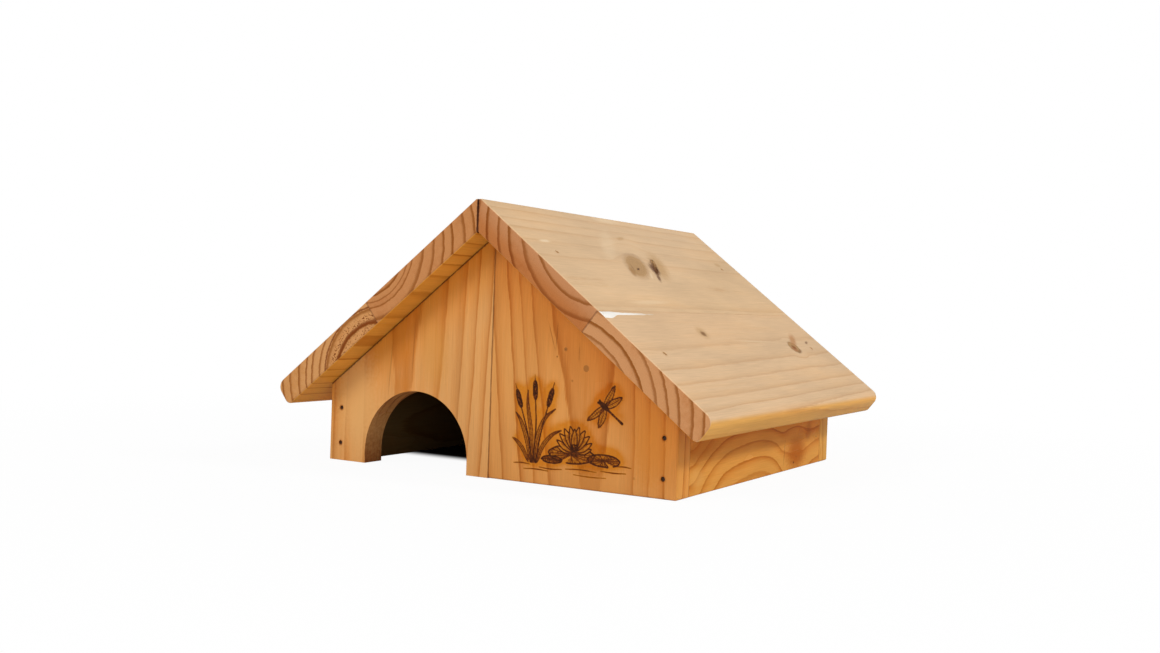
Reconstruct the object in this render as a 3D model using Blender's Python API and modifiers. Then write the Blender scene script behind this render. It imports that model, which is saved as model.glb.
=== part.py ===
"""Frog house: a low, floorless shelter with two gables, two side walls and a four-board roof.

The softwood boards are nailed together. +X is right as seen from the front, -Y is the front
and +Z is up. The origin lies on the ground under the middle of the roof.
"""

import math

import bmesh
import bpy
from mathutils import Vector

# Boards
BOARD_THICKNESS = 0.0183
GABLE_BOARD_WIDTH = 0.1397
HOUSE_LENGTH = 0.2763
WALL_HEIGHT = 0.0549
WALL_INSET = 0.0005

# Roof
ROOF_PITCH = math.radians(37.66)
UPPER_BOARD_UNDERSIDE = 0.1022
EAVE_OVERHANG = 0.0220
FRONT_OVERHANG = 0.0216
BACK_OVERHANG = 0.0270
RIDGE_FLAT = 0.0015
MITRE_GAP = 0.0010

# Doorway: a round-headed arch in the left board of the front gable, its centre line placed
# as a share of the board's width from the joint
DOOR_RADIUS = 0.04445
DOOR_LEG = 0.0095
DOOR_CENTRE_SHARE = 0.448

# Eased edges: widths, then shares of the ridge's flat and of the board's thickness
GABLE_EASE = 0.0014
ROOF_EASE = 0.0014
SEAM_EASE = 0.0009
WALL_ROUND = 0.0010
CREST_EASE_SHARE = 0.3
EAVE_TOP_SHARE = 0.355
EAVE_BOTTOM_SHARE = 0.246

# Nails, and how far each head is driven below the face
NAIL_LENGTH = 0.0380
NAIL_SHANK_RADIUS = 0.0009
NAIL_HEAD_RADIUS = 0.00125
NAIL_HEAD_DEPTH = 0.0009
NAIL_POINT = 0.0030
NAIL_SET = 0.0010
CUTTER_OVERRUN = 0.0020

# Gap left between pieces that touch, and how near two points count as one
CLEARANCE = 0.0003
SAME_POINT = 0.000003

# Places of the nails, as shares of the board that they pass through or sit in
WALL_NAIL_HEIGHT_SHARES = (0.23, 0.69)
ROOF_NAIL_WIDTH_SHARE = 0.41
ROOF_NAIL_DEPTH_SHARE = 0.33

# Smoothness of the round stretches
ROUND_STEPS = 10
DOOR_STEPS = 48
EASE_STEPS = 3
NAIL_STEPS = 16
FLAT_ANGLE = math.radians(0.5)

# Places worked out from the sizes above
ROOF_LENGTH = FRONT_OVERHANG + HOUSE_LENGTH + BACK_OVERHANG
ROOF_FRONT = -ROOF_LENGTH / 2
ROOF_BACK = ROOF_LENGTH / 2
HOUSE_FRONT = ROOF_FRONT + FRONT_OVERHANG
HOUSE_BACK = HOUSE_FRONT + HOUSE_LENGTH
SLOPE_RISE = math.tan(ROOF_PITCH)
APEX_HEIGHT = WALL_HEIGHT + GABLE_BOARD_WIDTH * SLOPE_RISE
WALL_OUTER = GABLE_BOARD_WIDTH - WALL_INSET
WALL_INNER = WALL_OUTER - BOARD_THICKNESS
DOOR_CENTRE = GABLE_BOARD_WIDTH * DOOR_CENTRE_SHARE
EAVE_END = (GABLE_BOARD_WIDTH + EAVE_OVERHANG) / math.cos(ROOF_PITCH)
LOWER_BOARD_WIDTH = EAVE_END - UPPER_BOARD_UNDERSIDE
EAVE_TOP_ROUND = BOARD_THICKNESS * EAVE_TOP_SHARE
EAVE_BOTTOM_ROUND = BOARD_THICKNESS * EAVE_BOTTOM_SHARE
ROOF_UNDERSIDE = CLEARANCE
ROOF_TOP = ROOF_UNDERSIDE + BOARD_THICKNESS

# Sides and ends of the house
SIDES = {"left": -1, "right": 1}
ENDS = {"front": -1, "back": 1}

# Finish of each kind of piece: colour, roughness, metallic
FINISHES = {
    "gable": ((0.58, 0.27, 0.08, 1.0), 0.38, 0.0),
    "wall": ((0.56, 0.28, 0.09, 1.0), 0.40, 0.0),
    "roof": ((0.69, 0.45, 0.24, 1.0), 0.32, 0.0),
    "nail": ((0.16, 0.13, 0.11, 1.0), 0.45, 1.0),
}


def clear_scene():
    for old in list(bpy.data.objects):
        bpy.data.objects.remove(old, do_unlink=True)


def new_collection(name):
    collection = bpy.data.collections.new(name)
    bpy.context.scene.collection.children.link(collection)
    return collection


def give_material(piece, kind):
    colour, roughness, metallic = FINISHES[kind]
    material = bpy.data.materials.new(piece.name + "_finish")
    material.use_nodes = True
    shader = material.node_tree.nodes["Principled BSDF"]
    shader.inputs["Base Color"].default_value = colour
    shader.inputs["Roughness"].default_value = roughness
    shader.inputs["Metallic"].default_value = metallic
    material.diffuse_color = colour
    piece.data.materials.clear()
    piece.data.materials.append(material)


def slope_point(side, along, out):
    """Point (x, z) of the roof's section: along the slope from the apex, and out from it."""
    x = along * math.cos(ROOF_PITCH) + out * math.sin(ROOF_PITCH)
    z = APEX_HEIGHT - along * math.sin(ROOF_PITCH) + out * math.cos(ROOF_PITCH)
    return Vector((side * x, z))


def slope_normal(side):
    return Vector((side * math.sin(ROOF_PITCH), math.cos(ROOF_PITCH)))


def slope_down(side):
    return Vector((side * math.cos(ROOF_PITCH), -math.sin(ROOF_PITCH)))


def gable_top(x):
    return APEX_HEIGHT - abs(x) * SLOPE_RISE


def corner_arc(before, corner, after, radius):
    """Points that round one corner of an outline."""
    back = (before - corner).normalized()
    ahead = (after - corner).normalized()
    half = back.angle(ahead) / 2
    reach = radius / math.tan(half)
    start = corner + back * reach
    centre = corner + (back + ahead).normalized() * (radius / math.sin(half))
    turn = math.pi - 2 * half
    if back.cross(ahead) > 0:
        turn = -turn
    spoke = start - centre
    points = []
    for step in range(ROUND_STEPS + 1):
        angle = turn * step / ROUND_STEPS
        c = math.cos(angle)
        s = math.sin(angle)
        points.append(centre + Vector((spoke.x * c - spoke.y * s, spoke.x * s + spoke.y * c)))
    return points


def rounded(corners):
    """Outline points from (point, radius) corners; a radius of 0 keeps a corner sharp."""
    points = []
    for index, (corner, radius) in enumerate(corners):
        if radius == 0:
            points.append(corner)
            continue
        before = corners[index - 1][0]
        after = corners[(index + 1) % len(corners)][0]
        points.extend(corner_arc(before, corner, after, radius))
    return points


def outline_curve(name, points, thickness):
    """Flat 2D outline, filled and thickened about its own plane."""
    curve = bpy.data.curves.new(name, "CURVE")
    curve.dimensions = "2D"
    curve.fill_mode = "BOTH"
    curve.extrude = thickness / 2
    spline = curve.splines.new("POLY")
    spline.points.add(len(points) - 1)
    for place, point in zip(spline.points, points):
        place.co = (point.x, point.y, 0, 1)
    spline.use_cyclic_u = True
    return bpy.data.objects.new(name, curve)


def as_mesh(source, collection):
    """Closed mesh object in place of a curve object."""
    bpy.context.view_layer.update()
    evaluated = source.evaluated_get(bpy.context.evaluated_depsgraph_get())
    mesh = bpy.data.meshes.new_from_object(evaluated)
    shape = bmesh.new()
    shape.from_mesh(mesh)
    bmesh.ops.remove_doubles(shape, verts=shape.verts, dist=SAME_POINT)
    bmesh.ops.dissolve_limit(shape, angle_limit=FLAT_ANGLE, verts=shape.verts, edges=shape.edges)
    bmesh.ops.recalc_face_normals(shape, faces=shape.faces)
    shape.to_mesh(mesh)
    shape.free()
    name = source.name
    place = source.matrix_world.copy()
    curve = source.data
    bpy.data.objects.remove(source, do_unlink=True)
    bpy.data.curves.remove(curve)
    mesh.name = name
    piece = bpy.data.objects.new(name, mesh)
    piece.matrix_world = place
    collection.objects.link(piece)
    return piece


def ease_edges(piece, width, butting, arrises):
    """Rounds the rims of a board's two cut ends and some of its long edges.

    butting holds the normals, in the outline's plane, of the sides that meet another board,
    whose rims stay sharp. arrises holds (outline point, width) for each long edge to round.
    """
    straight = math.cos(FLAT_ANGLE)
    shape = bmesh.new()
    shape.from_mesh(piece.data)
    weights = shape.edges.layers.float.new("bevel_weight_edge")
    for edge in shape.edges:
        ends = [f for f in edge.link_faces if abs(f.normal.z) > straight]
        sides = [f for f in edge.link_faces if f not in ends]
        if len(ends) == 1 and len(sides) == 1:
            facing = sides[0].normal.xy
            if not any(facing.dot(normal) > straight for normal in butting):
                edge[weights] = 1
        if len(sides) == 2:
            for point, arris in arrises:
                if (edge.verts[0].co.xy - point).length < SAME_POINT:
                    edge[weights] = arris / width
    shape.to_mesh(piece.data)
    shape.free()
    bevel = piece.modifiers.new("eased_edges", "BEVEL")
    bevel.limit_method = "WEIGHT"
    bevel.width = width
    bevel.segments = EASE_STEPS


def board(name, kind, outline, low, high):
    """Board whose outline stands in the XZ plane and runs from Y = low to Y = high."""
    curve = outline_curve(name, outline, high - low)
    curve.location = (0, (low + high) / 2, 0)
    curve.rotation_euler = (math.pi / 2, 0, 0)
    PARTS.objects.link(curve)
    piece = as_mesh(curve, PARTS)
    give_material(piece, kind)
    BOARDS[name] = piece
    return piece


def door_outline(side):
    """Outline of the arched doorway, from its joint side round to its outer side."""
    points = [Vector((side * (DOOR_CENTRE - DOOR_RADIUS), 0))]
    for step in range(DOOR_STEPS + 1):
        angle = math.pi * step / DOOR_STEPS
        reach = DOOR_RADIUS * math.cos(angle)
        height = DOOR_LEG + DOOR_RADIUS * math.sin(angle)
        points.append(Vector((side * (DOOR_CENTRE - reach), height)))
    points.append(Vector((side * (DOOR_CENTRE + DOOR_RADIUS), 0)))
    return points


def gable_boards(end):
    """The two boards of one gable, edge to edge on the centre line."""
    face = HOUSE_FRONT if end == "front" else HOUSE_BACK
    inward = face - ENDS[end] * BOARD_THICKNESS
    for side_name, side in SIDES.items():
        joint = side * CLEARANCE / 2
        outer = side * GABLE_BOARD_WIDTH
        foot = Vector((outer, 0))
        outline = [Vector((joint, 0))]
        if end == "front" and side_name == "left":
            outline += door_outline(side)
        outline += [foot, Vector((outer, gable_top(outer))), Vector((joint, gable_top(joint)))]
        name = f"{end}_gable_{side_name}"
        piece = board(name, "gable", outline, min(face, inward), max(face, inward))
        butting = [Vector((-side, 0)), slope_normal(side)]
        ease_edges(piece, GABLE_EASE, butting, [(foot, GABLE_EASE)])


def side_wall(side_name):
    """Wall between the gables, its top edge ripped to the roof's pitch."""
    side = SIDES[side_name]
    outer = side * WALL_OUTER
    inner = side * WALL_INNER
    corners = [
        (Vector((inner, 0)), WALL_ROUND),
        (Vector((outer, 0)), WALL_ROUND),
        (Vector((outer, gable_top(outer))), 0),
        (Vector((inner, gable_top(inner))), 0),
    ]
    low = HOUSE_FRONT + BOARD_THICKNESS + CLEARANCE
    high = HOUSE_BACK - BOARD_THICKNESS - CLEARANCE
    board(f"side_wall_{side_name}", "wall", rounded(corners), low, high)


def mitre_along(out):
    """How far along the slope the mitre face lies, at one height out from the underside."""
    return (MITRE_GAP / 2 - out * math.sin(ROOF_PITCH)) / math.cos(ROOF_PITCH)


def upper_roof_board(side_name):
    """Board from the mitred ridge down to the seam; its crest is planed flat."""
    side = SIDES[side_name]
    seam = UPPER_BOARD_UNDERSIDE - CLEARANCE / 2
    seam_top = slope_point(side, seam, ROOF_TOP)
    crest_drop = RIDGE_FLAT * SLOPE_RISE
    crest_inner = slope_point(side, mitre_along(ROOF_TOP), ROOF_TOP) - Vector((0, crest_drop))
    crest_outer = crest_inner + Vector((side * RIDGE_FLAT, 0))
    outline = [
        slope_point(side, mitre_along(ROOF_UNDERSIDE), ROOF_UNDERSIDE),
        slope_point(side, seam, ROOF_UNDERSIDE),
        seam_top,
        crest_outer,
        crest_inner,
    ]
    piece = board(f"roof_upper_{side_name}", "roof", outline, ROOF_FRONT, ROOF_BACK)
    crest_ease = RIDGE_FLAT * CREST_EASE_SHARE
    arrises = [(seam_top, SEAM_EASE), (crest_outer, crest_ease), (crest_inner, crest_ease)]
    ease_edges(piece, ROOF_EASE, [Vector((-side, 0)), slope_down(side)], arrises)


def lower_roof_board(side_name):
    """Board from the seam down to the eave, whose two long edges are rounded over."""
    side = SIDES[side_name]
    seam = UPPER_BOARD_UNDERSIDE + CLEARANCE / 2
    seam_top = slope_point(side, seam, ROOF_TOP)
    corners = [
        (slope_point(side, seam, ROOF_UNDERSIDE), 0),
        (slope_point(side, EAVE_END, ROOF_UNDERSIDE), EAVE_BOTTOM_ROUND),
        (slope_point(side, EAVE_END, ROOF_TOP), EAVE_TOP_ROUND),
        (seam_top, 0),
    ]
    name = f"roof_lower_{side_name}"
    piece = board(name, "roof", rounded(corners), ROOF_FRONT, ROOF_BACK)
    ease_edges(piece, ROOF_EASE, [-slope_down(side)], [(seam_top, SEAM_EASE)])


def turned_mesh(name, profile):
    """Closed turned shape from (radius, height) points that run from its top to its bottom."""
    mesh = bpy.data.meshes.new(name)
    shape = bmesh.new()
    rings = [shape.verts.new((radius, 0, height)) for radius, height in profile]
    for upper, lower in zip(rings, rings[1:]):
        shape.edges.new((upper, lower))
    shape.to_mesh(mesh)
    shape.free()
    return mesh


def turned_piece(name, mesh, collection):
    piece = bpy.data.objects.new(name, mesh)
    collection.objects.link(piece)
    screw = piece.modifiers.new("turned", "SCREW")
    screw.steps = NAIL_STEPS
    screw.render_steps = NAIL_STEPS
    screw.use_merge_vertices = True
    screw.merge_threshold = SAME_POINT
    screw.use_smooth_shade = True
    return piece


def nail_profile():
    """Finishing nail, its head's top at height 0."""
    neck = NAIL_HEAD_DEPTH + NAIL_HEAD_RADIUS - NAIL_SHANK_RADIUS
    return [
        (0, 0),
        (NAIL_HEAD_RADIUS, 0),
        (NAIL_HEAD_RADIUS, -NAIL_HEAD_DEPTH),
        (NAIL_SHANK_RADIUS, -neck),
        (NAIL_SHANK_RADIUS, NAIL_POINT - NAIL_LENGTH),
        (0, -NAIL_LENGTH),
    ]


def hole_profile():
    """The nail's own hole: its shape with a clearance, open to past the board's face."""
    head = NAIL_HEAD_RADIUS + CLEARANCE
    shank = NAIL_SHANK_RADIUS + CLEARANCE
    shoulder = NAIL_HEAD_DEPTH + CLEARANCE
    return [
        (0, NAIL_SET + CUTTER_OVERRUN),
        (head, NAIL_SET + CUTTER_OVERRUN),
        (head, -shoulder),
        (shank, -shoulder - head + shank),
        (shank, NAIL_POINT - NAIL_LENGTH - CLEARANCE),
        (0, -NAIL_LENGTH - CLEARANCE),
    ]


def drive_nail(name, point, rotation, through):
    """Nail at a point of a board's face, and its hole in each board named in through."""
    nail = turned_piece(name, NAIL_MESH.copy(), PARTS)
    give_material(nail, "nail")
    cutter = turned_piece(name + "_hole", HOLE_MESH, CUTTERS)
    for piece in (nail, cutter):
        piece.rotation_euler = rotation
        outward = piece.rotation_euler.to_matrix() @ Vector((0, 0, 1))
        piece.location = point - outward * NAIL_SET
    cutter.hide_render = True
    cutter.display_type = "WIRE"
    for board_name in through:
        cut = BOARDS[board_name].modifiers.new(name, "BOOLEAN")
        cut.operation = "DIFFERENCE"
        cut.solver = "EXACT"
        cut.object = cutter


def wall_nails(end):
    """Nails through one gable into the middle of each wall's end grain."""
    face = HOUSE_FRONT if end == "front" else HOUSE_BACK
    tilt = -ENDS[end] * math.pi / 2
    for side_name, side in SIDES.items():
        x = side * (WALL_OUTER + WALL_INNER) / 2
        for level, share in zip(("low", "high"), WALL_NAIL_HEIGHT_SHARES):
            point = Vector((x, face, WALL_HEIGHT * share))
            through = (f"{end}_gable_{side_name}", f"side_wall_{side_name}")
            drive_nail(f"{end}_nail_{side_name}_{level}", point, (tilt, 0, 0), through)


def roof_nails(end):
    """Nails through the roof boards, square to the slope, into one gable."""
    face = HOUSE_FRONT if end == "front" else HOUSE_BACK
    y = face - ENDS[end] * BOARD_THICKNESS * ROOF_NAIL_DEPTH_SHARE
    starts = {
        "upper": UPPER_BOARD_UNDERSIDE * ROOF_NAIL_WIDTH_SHARE,
        "lower": UPPER_BOARD_UNDERSIDE + LOWER_BOARD_WIDTH * ROOF_NAIL_WIDTH_SHARE,
    }
    for side_name, side in SIDES.items():
        for level, along in starts.items():
            spot = slope_point(side, along, ROOF_TOP)
            point = Vector((spot.x, y, spot.y))
            through = (f"roof_{level}_{side_name}", f"{end}_gable_{side_name}")
            tilt = (0, side * ROOF_PITCH, 0)
            drive_nail(f"roof_nail_{end}_{side_name}_{level}", point, tilt, through)


clear_scene()
PARTS = new_collection("frog_house")
CUTTERS = new_collection("frog_house_cutters")
BOARDS = {}
NAIL_MESH = turned_mesh("nail", nail_profile())
HOLE_MESH = turned_mesh("nail_hole", hole_profile())

for house_end in ENDS:
    gable_boards(house_end)
for house_side in SIDES:
    side_wall(house_side)
    upper_roof_board(house_side)
    lower_roof_board(house_side)
for house_end in ENDS:
    wall_nails(house_end)
    roof_nails(house_end)
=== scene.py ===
import math

import bmesh
import bpy
import numpy as np
from mathutils import Matrix, Vector, noise


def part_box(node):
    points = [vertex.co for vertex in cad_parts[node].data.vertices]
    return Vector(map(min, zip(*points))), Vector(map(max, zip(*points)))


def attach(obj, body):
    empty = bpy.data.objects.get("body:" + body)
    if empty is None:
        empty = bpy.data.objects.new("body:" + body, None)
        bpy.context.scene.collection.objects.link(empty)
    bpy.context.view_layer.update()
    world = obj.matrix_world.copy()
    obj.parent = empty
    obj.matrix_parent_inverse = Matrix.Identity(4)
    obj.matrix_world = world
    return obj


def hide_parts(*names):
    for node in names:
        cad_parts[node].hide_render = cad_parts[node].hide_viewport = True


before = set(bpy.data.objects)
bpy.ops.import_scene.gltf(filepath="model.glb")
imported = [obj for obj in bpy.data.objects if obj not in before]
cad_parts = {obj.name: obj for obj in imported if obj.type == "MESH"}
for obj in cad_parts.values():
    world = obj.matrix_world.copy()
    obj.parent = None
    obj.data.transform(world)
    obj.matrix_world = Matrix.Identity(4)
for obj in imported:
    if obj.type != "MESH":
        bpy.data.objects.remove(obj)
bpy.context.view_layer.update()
print("frame loaded:", len(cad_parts), "pieces")

# The house's own sizes in metres, as the frame has them
house = {
    "thickness": 0.0183,        # of every board
    "gableBoard": 0.1397,       # width of a gable board
    "wallHeight": 0.0549,       # at the outer corner of the gable
    "wallInset": 0.0005,
    "pitch": math.radians(37.66),
    "gap": 0.0003,              # between the frame's pieces
    "upperBoard": 0.1022,       # underside of an upper roof board, apex to seam
    "eaveOverhang": 0.022,
    "ridgeFlat": 0.0015,
    "mitreGap": 0.001,          # at the crest; the mitre closes towards its underside
    "buttGap": 0.00004,         # between boards pressed edge to edge
}
thickness, gap, buttGap = house["thickness"], house["gap"], house["buttGap"]
gableBoard, upperBoard, wallHeight = house["gableBoard"], house["upperBoard"], house["wallHeight"]
cosPitch, sinPitch = math.cos(house["pitch"]), math.sin(house["pitch"])
apexHeight = wallHeight + gableBoard * sinPitch / cosPitch
eaveEnd = (gableBoard + house["eaveOverhang"]) / cosPitch
wallOuter = gableBoard - house["wallInset"]
wallInner = wallOuter - thickness
roofTop = gap + thickness       # out from the line of the slope
roofFront, roofBack = (corner.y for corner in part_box("roof_upper_right"))
houseFront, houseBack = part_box("front_gable_right")[0].y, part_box("back_gable_right")[1].y
cabinFront, cabinBack = houseFront + thickness, houseBack - thickness
gableFace = {"front": houseFront, "back": houseBack}
sides = {"left": -1, "right": 1}
ends = {"front": -1, "back": 1}
origin = Vector((0, 0, 0))
xWay, yWay, zWay = Vector((1, 0, 0)), Vector((0, 1, 0)), Vector((0, 0, 1))
poleAlongY = (math.pi / 2, 0, 0)


def slopePoint(side, along, out, y=0.0):
    # point of the roof's section: down the slope from the apex, and out from the underside
    return Vector((side * (along * cosPitch + out * sinPitch), y,
                   apexHeight - along * sinPitch + out * cosPitch))


def slopeOut(side):
    return Vector((side * sinPitch, 0, cosPitch))


def slopeDown(side):
    return Vector((side * cosPitch, 0, -sinPitch))


class Wire:
    # an output of a finish; sums on it add Math nodes
    def __init__(self, finish, socket):
        self.finish = finish
        self.socket = socket

    def sum(self, operation, *values):
        return self.finish.add("Math", {"operation": operation}, dict(enumerate(values)))

    def __add__(self, other):
        return self.sum("ADD", self, other)

    def __sub__(self, other):
        return self.sum("SUBTRACT", self, other)

    def __rsub__(self, other):
        return self.sum("SUBTRACT", other, self)

    def __mul__(self, other):
        return self.sum("MULTIPLY", self, other)

    def __truediv__(self, other):
        return self.sum("DIVIDE", self, other)

    def __abs__(self):
        return self.sum("ABSOLUTE", self)

    __radd__ = __add__
    __rmul__ = __mul__

    def rise(self, low, high):
        # smooth step from 0 at low to 1 at high; falls where high is the smaller
        return self.finish.add("MapRange", {"interpolation_type": "SMOOTHSTEP"},
                               {"Value": self, "From Min": low, "From Max": high})

    def band(self, low, full, fading, high):
        # 1 from full to fading, down to 0 at low and high
        return self.rise(low, full) * self.rise(high, fading)


class Finish:
    def __init__(self, owner):
        # owner is the material or the world that the finish belongs to
        owner.use_nodes = True
        self.material = owner
        self.tree = owner.node_tree
        self.tree.nodes.clear()

    def add(self, kind, settings=None, sockets=None, out=0):
        node = self.tree.nodes.new("ShaderNode" + kind)
        for key, value in (settings or {}).items():
            if key == "stops":
                for index, (place, tone) in enumerate(value):
                    if index > 1:
                        node.color_ramp.elements.new(place)
                    node.color_ramp.elements[index].position = place
                    node.color_ramp.elements[index].color = (*tone, 1)
            elif key == "points":
                curve = node.mapping.curves[0]
                curve.points[0].location = value[0]
                curve.points[1].location = value[-1]
                for point in value[1:-1]:
                    curve.points.new(*point)
                node.mapping.update()
            else:
                setattr(node, key, value)
        for key, value in (sockets or {}).items():
            if isinstance(value, Wire):
                self.tree.links.new(value.socket, node.inputs[key])
            else:
                node.inputs[key].default_value = value
        return Wire(self, node.outputs[out]) if len(node.outputs) else node

    def mix(self, share, first, second, blend="MIX"):
        first, second = ((*c, 1) if isinstance(c, tuple) else c for c in (first, second))
        return self.add("Mix", {"data_type": "RGBA", "blend_type": blend},
                        {0: share, 6: first, 7: second}, out=2)

    def join(self, x, y, z):
        return self.add("CombineXYZ", None, {0: x, 1: y, 2: z})

    def parts(self, vector):
        outputs = self.add("SeparateXYZ", None, {0: vector}).socket.node.outputs
        return [Wire(self, output) for output in outputs]

    def vector(self, operation, *values, out=0):
        return self.add("VectorMath", {"operation": operation}, dict(enumerate(values)), out)

    def dot(self, first, second):
        return self.vector("DOT_PRODUCT", first, second, out="Value")

    def length(self, vector):
        return self.vector("LENGTH", vector, out="Value")

    def place(self):
        return self.add("TexCoord", out="Object")

    def finePlace(self):
        # the place in millimetres
        return self.add("VectorMath", {"operation": "SCALE"}, {0: self.place(), "Scale": 1000.0})

    def cloud(self, vector, sizes, detail=2.0, rough=0.5):
        # soft noise about 0, with lumps of the given sizes
        lumps = self.add("TexNoise", None, {"Vector": self.vector("DIVIDE", vector, sizes),
                                            "Scale": 1.0, "Detail": detail, "Roughness": rough})
        return lumps - 0.5

    def close(self, colour, roughness, bump, shine=0.5, metal=0.0):
        # ends the finish in one shader; bump is a height in millimetres
        normal = self.add("Bump", None, {"Height": bump, "Distance": 0.001})
        shader = self.add("BsdfPrincipled", None, {
            "Base Color": colour, "Roughness": roughness, "Normal": normal,
            "Specular IOR Level": shine, "Metallic": metal})
        self.add("OutputMaterial", None, {"Surface": shader})
        return self.material


# What all the boards share. Lengths are millimetres, colours are the light that comes back.
wood = {
    "early": (0.7, 0.35, 0.128),          # pale wood between the rings
    "warm": (0.63, 0.255, 0.064),         # rings that took more of the varnish
    "soft": (0.49, 0.142, 0.01),          # the slow darkening towards a ring's edge
    "late": (0.31, 0.078, 0.004),         # the hard dark line itself
    "endEarly": (0.578, 0.27, 0.108),     # end grain, pinker
    "endWarm": (0.49, 0.186, 0.056),
    "endLate": (0.255, 0.07, 0.004),
    "endMark": (0.195, 0.04, 0.001),      # resin and dirt on end grain
    "knot": (0.33, 0.13, 0.03), "knotEdge": 0.9,
    "knotHeart": (0.115, 0.038, 0.01),
    "mark": (0.125, 0.036, 0.006),
    "dirtAndCreviceShade": (0.085, 0.02, 0.006),         # dirt in the joints, and painted shade in the crevice under the roof
    "insideShade": (0.24, 0.32, 0.55),         # painted shade: what the dim, bare inside keeps of a colour
    "ringSpacing": 7.6,
    "farRing": 190.0,                     # the ring table ends here
    "ringShare": 0.42,                    # how much the rings differ in warmth
    "wander": 2.2,                        # slow swing of the rings
    "lean": (0, 0), "leanFrom": 0,        # of the pith along the board
    "swellScale": (300, 20),              # the board's length and the tallest swell
    "seed": 0,
    "faceSoft": 0.46,                     # strength of the slow darkening on a face
    "faceLine": 0.5,                      # strength of the ring lines on a face
    "endSoft": 0.3,                       # and both on end grain
    "endLine": 0.95,
    "gloss": 0.26,
    "shine": 0.1,                         # mirror strength of the varnish
    "lineBump": 0.035, "fibreBump": 0.016, "waveBump": 0.12, "poreBump": 0.03,
    "swell": (), "knots": (), "bulges": (), "marks": (), "bands": (), "specks": (),
    "strongLines": (), "corners": (), "turned": (), "joints": (),
}


def insideHouse(finish, place):
    # 1 in the cabin, under the roof and between the walls
    x, y, z = finish.parts(place)
    rafter = abs(x) * sinPitch + z * cosPitch - apexHeight * cosPitch
    near, off = gap, 2 * gap
    return (rafter.rise(off, near) * abs(x).rise(wallInner + off, wallInner + near)
            * y.band(cabinFront - off, cabinFront - near, cabinBack + near, cabinBack + off))


def ringTable(radii, spacing, far):
    # rings inside and outside the given ones, spaced as the nearest of them roughly are
    rings = list(radii)
    while rings[0] > spacing * 1.3:
        rings.insert(0, rings[0] - spacing * (0.92 + 0.04 * ((len(rings) * 7) % 5)))
    while rings[-1] < far:
        rings.append(rings[-1] + spacing * (0.86 + 0.2 * ((len(rings) * 5) % 7) / 6))
    return [0.0] + rings[:-1] + [far]


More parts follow.
